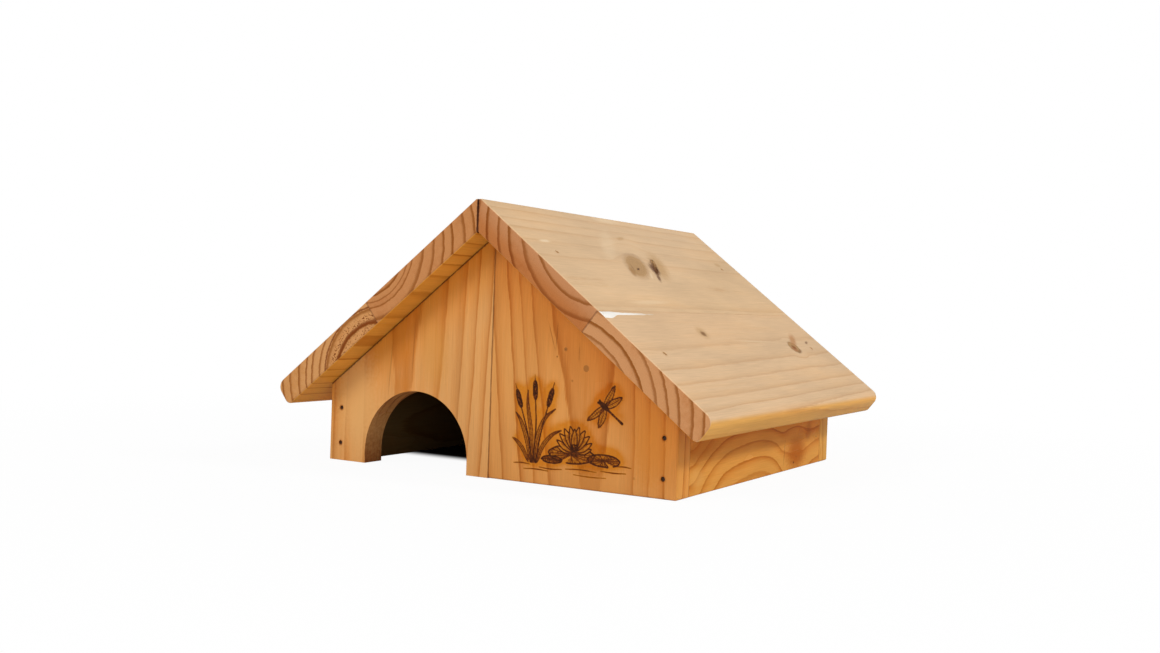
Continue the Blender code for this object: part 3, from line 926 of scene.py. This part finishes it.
def burnPicture(piece):
    # the ground is divided finely, its points take the heat, and burned lines sink in
    edit(piece, "faces", holdsPond)
    for cuts in pond["splits"]:
        bpy.ops.mesh.subdivide(number_cuts=cuts)
    finishEdit()

    pen = BurningPen()
    for draw in (drawBulrushes, drawDragonfly, drawLily, drawWater):
        draw(pen)
    glow = pen.heat.copy()
    reach = int(pond["glowReach"] / pen.step)
    spread = np.exp(-np.linspace(-2.5, 2.5, 5 * reach // 2 * 2 + 1) ** 2 / 2)
    spread /= spread.sum()
    for axis in (0, 1):
        glow = np.apply_along_axis(np.convolve, axis, glow, spread, "same")
    glow = np.roll(glow, int(pond["glowRise"] / pen.step), axis=0)
    glow = np.clip(glow * pond["glow"], 0, 1)

    mesh = piece.data
    places = np.zeros(len(mesh.vertices) * 3)
    mesh.vertices.foreach_get("co", places)
    places = places.reshape(-1, 3)
    column = (places[:, 0] * 1000 - pond["left"]) / pen.step
    row = (places[:, 2] * 1000 - pond["bottom"]) / pen.step
    rows, columns = pen.heat.shape
    edge = np.minimum.reduce([column, columns - 1 - column, row, rows - 1 - row])
    held = (np.abs(places[:, 1] - houseFront) < 1e-5) & (edge > 0)
    fade = np.clip(edge * pen.step / pond["fade"], 0, 1)
    c, r = np.clip(column, 0, columns - 2), np.clip(row, 0, rows - 2)
    c0, r0 = c.astype(int), r.astype(int)
    for name, raster in (("scorch", glow), ("burned", pen.heat)):
        value = sum(raster[r0 + i, c0 + j] * abs(1 - j - c + c0) * abs(1 - i - r + r0)
                    for i in (0, 1) for j in (0, 1))
        value = np.where(held, value * fade, 0)
        mesh.attributes.new(name, "FLOAT", "POINT").data.foreach_set("value", value)
    places[:, 1] += pond["groove"] / 1000 * np.clip(value, 0, 1) ** 1.5
    mesh.vertices.foreach_set("co", places.ravel())
    mesh.update()
    print("picture burned:", int(held.sum()), "points")


def underSlope(side, reach, tint):
    # painted shade under the roof and in the crevice where the roof sits, and dirt where the boards meet
    place, out = slopePoint(sides[side], 0, 0), slopeOut(sides[side])
    return {"corners": [(place, out, reach, tint)],
            "joints": [(place, out, 1.3, 0.3, 0.8, False), (origin, xWay, 0.9, 0.2, 0.62, False)]}


def gableWays(end, side, *shade):
    # across is X, through is inwards from its outer face, and the grain runs up
    return {"axes": (yWay * gableFace[end], xWay, -ends[end] * yWay, zWay), **underSlope(side, *shade)}


def wallWays(side, *shade):
    # across is up, through is inwards, and the grain runs from front to back
    sign = sides[side]
    return {"axes": (Vector((sign * wallOuter, houseFront, 0)), zWay, -sign * xWay, yWay),
            **underSlope(side, *shade)}


# the roof's own wood colour, with a painted sheen that makes it paler than the gables'
roofToneWithSheen = {
    "early": (0.71, 0.478, 0.28), "warm": (0.68, 0.428, 0.226), "soft": (0.57, 0.305, 0.125),
    "late": (0.4, 0.17, 0.05), "faceSoft": 0.3, "shine": 0.17, "gloss": 0.22, "waveBump": 0.3,
    "knot": (0.435, 0.24, 0.086), "knotHeart": (0.13, 0.045, 0.006),
}
eaveShadeTint = (1.03, 0.78, 0.3)       # painted shade: the rounded eave is tinted warmer and darker than the slope
# painted sheen: a pale colour for streaks where the varnish catches the light
paintedSheen = (0.86, 0.68, 0.45)
tan = (0.5, 0.285, 0.11)


def roofWays(side, *downShadeTints):
    # across is down the slope from the apex, through is out from the underside, and the grain
    # runs from front to back; the mitre took up dirt, and the underside is tinted far more orange as
    # painted shade
    out, down = slopeOut(sides[side]), slopeDown(sides[side])
    return {
        **roofToneWithSheen, "axes": (Vector((0, roofFront, apexHeight)), down, out, yWay),
        "joints": [(origin, xWay, 1.1, 0.7, 0.95, False),
                   (slopePoint(sides[side], upperBoard, 0), down, 0.9, 0.2, 0.42, True)],
        "turned": [(-out, (1.07, 0.72, 0.18)), *((down, tint) for tint in downShadeTints)],
        "strongLines": [(-out, 0.55)],
    }


def nailStains(side):
    # the rust has crept into the wood round a gable's nails
    across = sides[side] * (wallOuter - thickness / 2) * 1000
    return [(across, share * wallHeight * 1000, 2.6, 3.0, 0, 0.75, (0.33, 0.08, 0.008))
            for share in nail["wallShares"].values()]


# Knots are (across, along, half sizes across and along, turn, depth of tone, rim, heart).
# Marks are (across, along, half sizes across and along, turn, strength), and some a colour.
# After a gable's or wall's side come the reach and tint of its painted shade under the roof.
boardLooks = {
    "front_gable_right": {
        **gableWays("front", "right", 62, (0.87, 0.68, 0.42)),
        "early": (0.665, 0.3, 0.082), "warm": (0.59, 0.222, 0.044), "soft": (0.45, 0.125, 0.014),
        "pith": (74, 60), "lean": (-0.07, -0.041), "leanFrom": 65,
        "rings": (63.5, 70.7, 76.2, 82.8, 92.7, 101.5), "seed": 3,
        # painted light: the corner face that looks to the side is lightened
        "wander": 1.2, "ringShare": 0.26, "turned": [(xWay, (1.04, 1.11, 0.98))],
        "knots": [(73, 77.5, 2.1, 2.2, 0, 0.75, 0.0, 0.0), (57.3, 89, 1.3, 1.3, 0, 0.8, 0.0, 0.3)],
        "marks": [(51, 84, 0.8, 0.8, 0, 0.7), (63, 69, 1.0, 1.0, 0, 0.4),
                  (46.5, 97, 0.55, 11, 17, 0.42), (50.4, 97, 0.55, 11, -4, 0.42),
                  (67.5, 87, 0.6, 8, 0, 0.35), (71, 10, 1.2, 1.2, 0, 0.3),
                  # painted light: the wide mark low in the middle lightens the board near the ground;
                  # painted shade: the wide mark at the far right deepens it
                  (110, 11, 1.2, 1.2, 0, 0.3), (80, 3, 26, 18, 0, 0.6, (0.66, 0.285, 0.072)),
                  (121, 30, 18, 34, 0, 0.6, (0.585, 0.205, 0.028)), *nailStains("right")],
        "burn": {
            "stops": ((0.0, (0.58, 0.235, 0.025)), (0.34, (0.37, 0.118, 0.008)),
                      (0.58, (0.185, 0.044, 0.004)), (0.8, (0.088, 0.021, 0.004)),
                      (1.0, (0.044, 0.012, 0.003))),
            "scorch": (0.87, 0.66, 0.17),
        },
    },
    "front_gable_left": {
        **gableWays("front", "left", 42, (0.97, 0.74, 0.31)),
        "early": (0.69, 0.34, 0.112), "warm": (0.612, 0.243, 0.054),
        "pith": (-76, 60), "lean": (0.03, -0.02), "leanFrom": 65,
        "rings": (61.6, 69.6, 79.1, 86.3, 94.5), "seed": 19, "wander": 1.2,
        "ringShare": 0.32, "faceLine": 0.42,
        # painted shade: the doorway's jamb and the faces that look down are darkened
        "turned": [(xWay, (0.43, 0.225, 0.1)), (-zWay, (0.92, 0.86, 0.7))],
        "marks": [(-27, 80, 3.0, 70, 0, 0.1), (-66, 84, 0.7, 26, -3, 0.3),
                  (-86, 70, 0.8, 24, -4, 0.3), (-76, 90, 12, 24, 0, 0.6, (0.57, 0.19, 0.02)),
                  (-48, 80, 16, 30, 0, 0.45, (0.61, 0.265, 0.048)),
                  (-77, 57, 9, 9, 0, 0.35, (0.57, 0.19, 0.024)),
                  # painted light: the wide pale mark low at the left lightens the board
                  (-116, 47, 26, 57, 8, 0.72, (0.76, 0.41, 0.144)), *nailStains("left")],
    },
    "back_gable_right": {
        **gableWays("back", "right", 30, (0.96, 0.78, 0.52)),
        "pith": (48, -52), "lean": (0.03, 0.02), "leanFrom": 60,
        "rings": (54, 62, 69.5, 78, 85), "seed": 41, "faceLine": 0.3,
        # painted shade: the edge that looks to the side is darkened
        "turned": [(xWay, (0.94, 1.0, 0.6))], "knots": [(88, 30, 6.5, 8, 10, 0.6, 0.4, 0.3)],
    },
    "back_gable_left": {
        **gableWays("back", "left", 30, (0.96, 0.78, 0.52)),
        "pith": (-66, 48), "lean": (-0.04, 0.02), "leanFrom": 50,
        "rings": (50, 57.5, 66, 73, 80.5), "seed": 57,
        "knots": [(-20, 118, 3.2, 4.0, -12, 0.7, 0.4, 0.4)],
    },
    "side_wall_right": {
        **wallWays("right", 42, (0.85, 0.52, 0.1)),
        "early": (0.665, 0.31, 0.062), "warm": (0.6, 0.222, 0.03), "shine": 0.05,
        "pith": (-15, 40), "rings": (37, 45.4, 51.2, 58.9, 66, 73),
        "seed": 7, "wander": 0.5, "faceLine": 0.46, "faceSoft": 0.6,
        "swell": [(0, -20), (20, -19.5), (35, -15), (50, -9.6), (62, -6.2), (78, -2.9),
                  (100, -0.9), (130, 0), (150, -0.9), (165, -3.4), (182, -8), (205, -10),
                  (250, -6), (300, -3)],
        "bulges": [(31, 205, 14, 42, 0, -7.0)],
        "marks": [(29, 34, 9, 36, -4, 0.6, (0.42, 0.12, 0.008)),
                  (11, 30, 8, 14, 0, 0.5, (0.68, 0.35, 0.09)),
                  (14, 182, 12, 1.0, 6, 0.45), (12, 207, 16, 26, 0, 0.88, (0.4, 0.1, 0.006)),
                  (27, 232, 10, 8, 30, 0.6, (0.37, 0.095, 0.008)),
                  (5, 202, 1.2, 1.6, 0, 0.9), (9, 207, 1.0, 1.2, 0, 0.5), (21, 250, 0.8, 1.6, 0, 0.6)],
    },
    "side_wall_left": {
        **wallWays("left", 33, (0.86, 0.6, 0.3)),
        "early": (0.655, 0.29, 0.06), "warm": (0.585, 0.21, 0.032),
        "pith": (20, 55), "rings": (58, 64.5, 72, 79), "seed": 23,
        "swell": [(0, -3), (60, 2), (130, 5), (190, 1), (300, -5)],
        "knots": [(30, 206, 4.5, 7, 0, 0.6, 0.4, 0.3)],
    },
    "roof_upper_right": {
        **roofWays("right"),
        "early": (0.69, 0.463, 0.262), "warm": (0.655, 0.41, 0.208),
        "endEarly": (0.515, 0.225, 0.09), "endWarm": (0.435, 0.155, 0.046),
        "endDeep": (0.9, 0.7, 0.44),
        "pith": (72, 60), "rings": (50, 60.5, 70.6, 78.7, 87.7, 95.2, 103), "seed": 5,
        "wander": 1.2, "faceLine": 0.14, "faceSoft": 0.16, "knotEdge": 0.66,
        "knots": [(49, 128, 11.5, 23, 32, 0.9, 0.12, 0.0), (53, 125, 1.6, 5, 20, 0.9, 0.0, 0.9)],
        # marks in the pale colour are painted sheen on the varnish
        "marks": [(47, 166, 12, 28, 43, 0.8, tan),
                  (49.5, 156, 4.8, 18, 43, 0.92), (51, 153, 7, 10, 43, 0.8),
                  (62, 144, 2.6, 9, 43, 0.85), (60, 135, 1.8, 8, 43, 0.4, paintedSheen),
                  (14.5, 152, 2.6, 10, 15, 0.6, tan), (57, 111, 4.5, 9, 45, 0.75, (0.34, 0.165, 0.045)),
                  (36, 293, 3.5, 7, 10, 0.5, tan), (52, 118, 1.0, 7, 60, 0.35),
                  (30, 27, 2.0, 10, 4, 0.7, paintedSheen), (-9, 160, 5, 26, 0, 0.35, paintedSheen),
                  (25, 118, 9, 38, 38, 0.22, paintedSheen), (92, 85, 3, 34, 2, 0.3, paintedSheen),
                  (41.9, 27.6, 2.4, 2.4, 0, 0.25, tan), (41.9, 291.9, 2.4, 2.4, 0, 0.25, tan)],
    },
    "roof_lower_right": {
        **roofWays("right", eaveShadeTint),
        "pith": (121, -48), "lean": (-0.025, 0.0), "wander": 1.0, "faceLine": 0.21,
        "rings": (53.4, 61.9, 70.3, 77.6, 85.4, 93.9, 100.8, 107.8), "seed": 12,
        "knots": [(142, 257, 6.4, 8.6, 15, 0.9, 0.25, 0.5)],
        "marks": [(124, 116, 7.5, 10, 20, 0.55, tan), (125, 116, 3.4, 4.6, 20, 0.75),
                  (134, 270, 4.6, 19, 29, 0.72, (0.47, 0.195, 0.058)),
                  (144, 255, 4.5, 6, 15, 0.62, (0.34, 0.1, 0.03)),
                  (147, 260, 2.4, 8, 15, 0.4), (137, 295, 1.6, 6, 15, 0.7),
                  # the long pale mark along the seam is a painted highlight
                  (134, 190, 1.2, 44, -2, 0.35, paintedSheen), (144.1, 27.6, 3.2, 3.2, 0, 0.4, tan),
                  (144.1, 291.9, 2.4, 2.4, 0, 0.25, tan)],
    },
    "roof_upper_left": {
        **roofWays("left"),
        "endEarly": (0.53, 0.222, 0.074), "endWarm": (0.45, 0.155, 0.04),
        "pith": (81, 49), "wander": 1.0, "faceLine": 0.24,
        "rings": (34.6, 38.8, 42.8, 52, 60.5, 68.5, 76, 86, 94, 102.5), "seed": 33,
        "knots": [(38, 206, 7.5, 11, -18, 0.55, 0.35, 0.3), (70, 96, 3.2, 4, 10, 0.75, 0.2, 0.8)],
    },
    "roof_lower_left": {
        **roofWays("left", eaveShadeTint),
        "endEarly": (0.6, 0.285, 0.098), "endWarm": (0.52, 0.205, 0.045),
        "pith": (123, -30), "rings": (39, 48.2, 55, 62, 67.5, 75, 83, 90), "seed": 46,
        "wander": 1.0, "faceLine": 0.26,
        "bands": [(38.0, 2.1, 0.86), (48.4, 1.0, 0.85)],
        "specks": [(41.5, 4.0, 1.0), (33.5, 4.0, 0.8)],
        "knots": [(165, 140, 6, 8.5, 12, 0.65, 0.35, 0.4)],
    },
}


def dressBoards(boards):
    for name, board in boards.items():
        smooth(board, easing["smooth"])
        applied(board, "even", "WEIGHTED_NORMAL", keep_sharp=True)
        board.data.materials.clear()
        board.data.materials.append(solidWood(name + "_wood", boardLooks[name]))
        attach(board, "root")
        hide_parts(name)
        ("gable_wood" if "gable" in name
                else "wall_wood" if "wall" in name else "roof_wood")
    print("boards dressed")


nailLook = {
    "steel": (0.065, 0.034, 0.018), "rust": (0.09, 0.028, 0.008), "grain": 0.55, "metal": 0.35,
}


def finishNails():
    # the frame's own nails stay, and get a rusty steel
    finish = Finish(bpy.data.materials.new("nail_steel_set_in_wood"))
    fine = finish.finePlace()
    blotch = finish.cloud(fine, (0.9, 0.9, 0.9), 3.0)
    scratch = finish.cloud(fine, (0.2, 0.2, 0.2))
    colour = finish.mix((blotch * 3 + 0.4).rise(0.2, 0.9), nailLook["steel"], nailLook["rust"])
    steel = finish.close(colour, nailLook["grain"] + blotch * 0.5,
                         blotch * 0.03 + scratch * 0.02, metal=nailLook["metal"])
    for name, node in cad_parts.items():
        if "nail" in name:
            for slot in node.material_slots:
                slot.material = steel
    print("nails finished")


plug = {
    "radius": 0.0015, "top": -0.00022, "bottom": -0.0009, "sides": 40, "smooth": 40,
    "dish": 0.00016, "dishSteps": (0.22, 0.3, 0.4, 0.5), "inset": 0.55, "sink": 0.8,
    "colour": (0.47, 0.27, 0.115), "dark": (0.27, 0.13, 0.05), "gloss": 0.3,
}


def nailPlugs():
    # one plug, dished by the finger that pressed it in, then a copy in every roof nail's hole
    first = primitive(bpy.ops.mesh.primitive_cylinder_add, "plug", vertices=plug["sides"],
                      radius=plug["radius"], depth=plug["top"] - plug["bottom"],
                      location=(0, 0, (plug["top"] + plug["bottom"]) / 2))
    edit(first, "faces", lambda face: face.normal.z > 0.9)
    for share in plug["dishSteps"]:
        bpy.ops.mesh.inset(thickness=plug["radius"] * share * plug["inset"])
        bpy.ops.transform.translate(value=(0, 0, -plug["dish"] * share * plug["sink"]))
    finishEdit()
    smooth(first, plug["smooth"])

    finish = Finish(bpy.data.materials.new("wood_filler_under_varnish"))
    fine = finish.finePlace()
    grain = finish.cloud(fine, (0.35, 0.35, 0.35), 3.0)
    lump = finish.cloud(fine, (1.4, 1.4, 1.4), 1.0)
    colour = finish.mix((grain * 2.2 + lump + 0.4).rise(0.1, 1.0), plug["colour"], plug["dark"])
    first.data.materials.append(
        finish.close(colour, plug["gloss"] + grain * 0.2, grain * 0.03 + lump * 0.06))
    for name, point, turn, _ in nailPlaces():
        if name.startswith("roof_nail"):
            piece = placedCopy(first, name.replace("roof_nail", "nail_plug"), point, turn)
            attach(piece, "root")
    bpy.data.objects.remove(first)
    print("nail plugs set")


run = {
    "along": 0.1052, "sunk": 0.00012, "uneven": 0.00022, "lump": 0.007, "smooth": 50,
    "halfSizes": (0.0018, 0.00042, 0.1),    # across, out and along
    "drop": (0.0013, 1.9, 0.005, 0.017),    # its front sags, widens, where, and how long
    # painted highlight: the bead's near-white colour and the colour it fades to along the seam
    "colour": (0.96, 0.92, 0.85), "highlightFade": (0.7, 0.5, 0.3), "highlightFadeFrom": (25, 80), "gloss": 0.12,
}


def varnishRun():
    # varnish that ran into the seam and set as a glossy bead, widest at the front edge; its near-white
    # colour is a painted highlight
    bead = primitive(bpy.ops.mesh.primitive_uv_sphere_add, "seam_varnish_right", segments=64,
                     ring_count=160, rotation=poleAlongY, scale=run["halfSizes"])
    aside, wider, middle, reach = run["drop"]
    edit(bead, "verts", lambda vert: abs(vert.co.y - middle) < reach / 8)
    soft = {"use_proportional_edit": True, "proportional_edit_falloff": "SMOOTH",
            "proportional_size": reach}
    bpy.ops.transform.translate(value=(aside, 0, 0), **soft)
    bpy.ops.transform.resize(value=(wider, 1, wider), center_override=(aside, middle, 0), **soft)
    finishEdit()
    clouds = bpy.data.textures.new("varnish_lumps", "CLOUDS")
    clouds.noise_scale = run["lump"]
    applied(bead, "uneven", "DISPLACE", texture=clouds, strength=run["uneven"])
    saw(bead, [(yWay * run["uneven"], -yWay), (-zWay * run["sunk"], -zWay)])
    section = Matrix((slopeDown(1), yWay, slopeOut(1))).transposed().to_4x4()
    top = slopePoint(1, run["along"], thickness, roofFront + gap)
    bead.data.transform(Matrix.Translation(top) @ section)
    smooth(bead, run["smooth"])

    finish = Finish(bpy.data.materials.new("varnish_run_painted_highlight"))
    fine = finish.finePlace()
    depth = finish.cloud(fine, (3, 9, 3))
    along = finish.dot(fine, yWay) - roofFront * 1000
    # painted highlight: near white at the front, fading along the seam
    colour = finish.mix((along + depth * 12).rise(*run["highlightFadeFrom"]), run["colour"], run["highlightFade"])
    bead.data.materials.append(finish.close(colour, run["gloss"] + depth * 0.05, depth * 0.03))
    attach(bead, "root")
    print("varnish run set")


studio = {
    "paper": (0.86, 0.86, 0.86), "paperReach": 4.0, "paperDrop": 0.0002,
    "paperSheen": (0.28, 0.26, 0.24),    # the ground as the varnish mirrors it
    "whiteShare": 0.95, "whiteFrom": (0.25, 0.75),     # metres from the middle
    # painted shade: the colour of the ground inside the house
    "innerShadePaper": (0.03, 0.028, 0.025),
    "innerShadeSpan": (-0.085, -0.06),        # painted shade: along Y, where the ground inside the house is made dark
    # of each lamp, its place, its size and its power
    "lamps": {"key": ((-0.95, -2.45, 1.7), 1.3, 31.0), "fill": ((1.95, 0.3, 1.6), 0.4, 27.0),
              "glint": ((-0.5, 2.07, 1.14), 0.5, 0.12)},
    "lampAim": (0, 0, 0.06),
    "gloom": (1.0, 0.88, 0.7),           # the colour of the room that the gloss sees
    # the sky's strength low and high, and the heights between which it changes
    "skyLight": (0.96, 0.42, 0.1, 0.75), "skyGloss": (0.15, 0.28, 0.05, 0.34),
}
view = {
    "place": (0.45981, -0.80748, 0.11709),
    "right": (0.8609094, 0.50756851, 0.03477379),
    "up": (-0.03850417, -0.00315076, 0.99925347),
    "back": (0.50729916, -0.86160564, 0.01683099),
    "lens": 37.58, "sensor": 36.0, "nearest": 0.01,
}


def softLamp(name, place, size, power):
    lamp = bpy.data.lights.new(name, "AREA")
    lamp.shape = "DISK"
    lamp.size = size
    lamp.energy = power
    lampObject = bpy.data.objects.new(name, lamp)
    lampObject.visible_camera = False
    bpy.context.scene.collection.objects.link(lampObject)
    lampObject.location = place
    aim = Vector(studio["lampAim"]) - Vector(place)
    lampObject.rotation_euler = aim.to_track_quat("-Z", "Y").to_euler()


def studioFloor():
    floor = primitive(bpy.ops.mesh.primitive_plane_add, "studio_floor",
                      size=studio["paperReach"] * 2, location=(0, 0, -studio["paperDrop"]))
    finish = Finish(bpy.data.materials.new("studio_paper"))
    place = finish.place()
    x, y, _ = finish.parts(place)
    # painted shade: 1 on the ground inside the house
    inner = (abs(x).rise(wallOuter, wallOuter - thickness / 2)
             * y.band(*studio["innerShadeSpan"], houseBack - thickness / 2, houseBack))
    mirrored = finish.add("LightPath", out="Is Glossy Ray")
    tone = finish.mix(mirrored, studio["paper"], studio["paperSheen"])
    paper = finish.add("BsdfDiffuse", None, {"Color": finish.mix(inner, tone, studio["innerShadePaper"])})
    white = finish.add("Emission")
    share = finish.length(place).rise(*studio["whiteFrom"]) * (1 - studio["whiteShare"])
    seen = finish.add("LightPath", out="Is Camera Ray") * (share + studio["whiteShare"])
    shown = finish.add("MixShader", None, {0: seen * (1 - inner), 1: paper, 2: white})
    finish.add("OutputMaterial", None, {"Surface": shown})
    floor.data.materials.append(finish.material)


def studioSky():
    # white to the camera; the house's gloss sees it bright overhead and dim near the horizon
    world = bpy.data.worlds.new("studio_sky")
    bpy.context.scene.world = world
    finish = Finish(world)
    height = finish.dot(finish.add("TexCoord", out="Generated"), zWay)
    camera, glossy = (finish.add("LightPath", out=f"Is {ray} Ray") for ray in ("Camera", "Glossy"))
    light, gloss = (height.rise(*between) * (high - low) + low
                    for low, high, *between in (studio["skyLight"], studio["skyGloss"]))
    strength = (1 - glossy) * light + glossy * gloss
    strength = (1 - camera) * strength + camera
    tone = finish.mix(glossy, (1.0, 1.0, 1.0), studio["gloom"])
    sky = finish.add("Background", None, {"Color": tone, "Strength": strength})
    finish.add("OutputWorld", None, {"Surface": sky})


def studioCamera():
    camera = bpy.data.objects.new("studio_camera", bpy.data.cameras.new("studio_camera"))
    bpy.context.scene.collection.objects.link(camera)
    camera.data.lens = view["lens"]
    camera.data.sensor_width = view["sensor"]
    camera.data.clip_start = view["nearest"]
    columns = Matrix((view["right"], view["up"], view["back"])).transposed().to_4x4()
    camera.matrix_world = Matrix.Translation(view["place"]) @ columns
    bpy.context.scene.camera = camera


def setUpStudio():
    bpy.context.scene.view_settings.view_transform = "Standard"
    for name, lamp in studio["lamps"].items():
        softLamp(name + "_lamp", *lamp)
    studioFloor()
    studioSky()
    studioCamera()
    print("studio set up")


boards = {**dict(gableBoards()), **dict(sideWalls()), **dict(roofBoards())}
drillHoles(boards)
cutBarkPocket(boards["roof_upper_right"])
burnPicture(boards["front_gable_right"])
dressBoards(boards)
nailPlugs()
varnishRun()
finishNails()
setUpStudio()
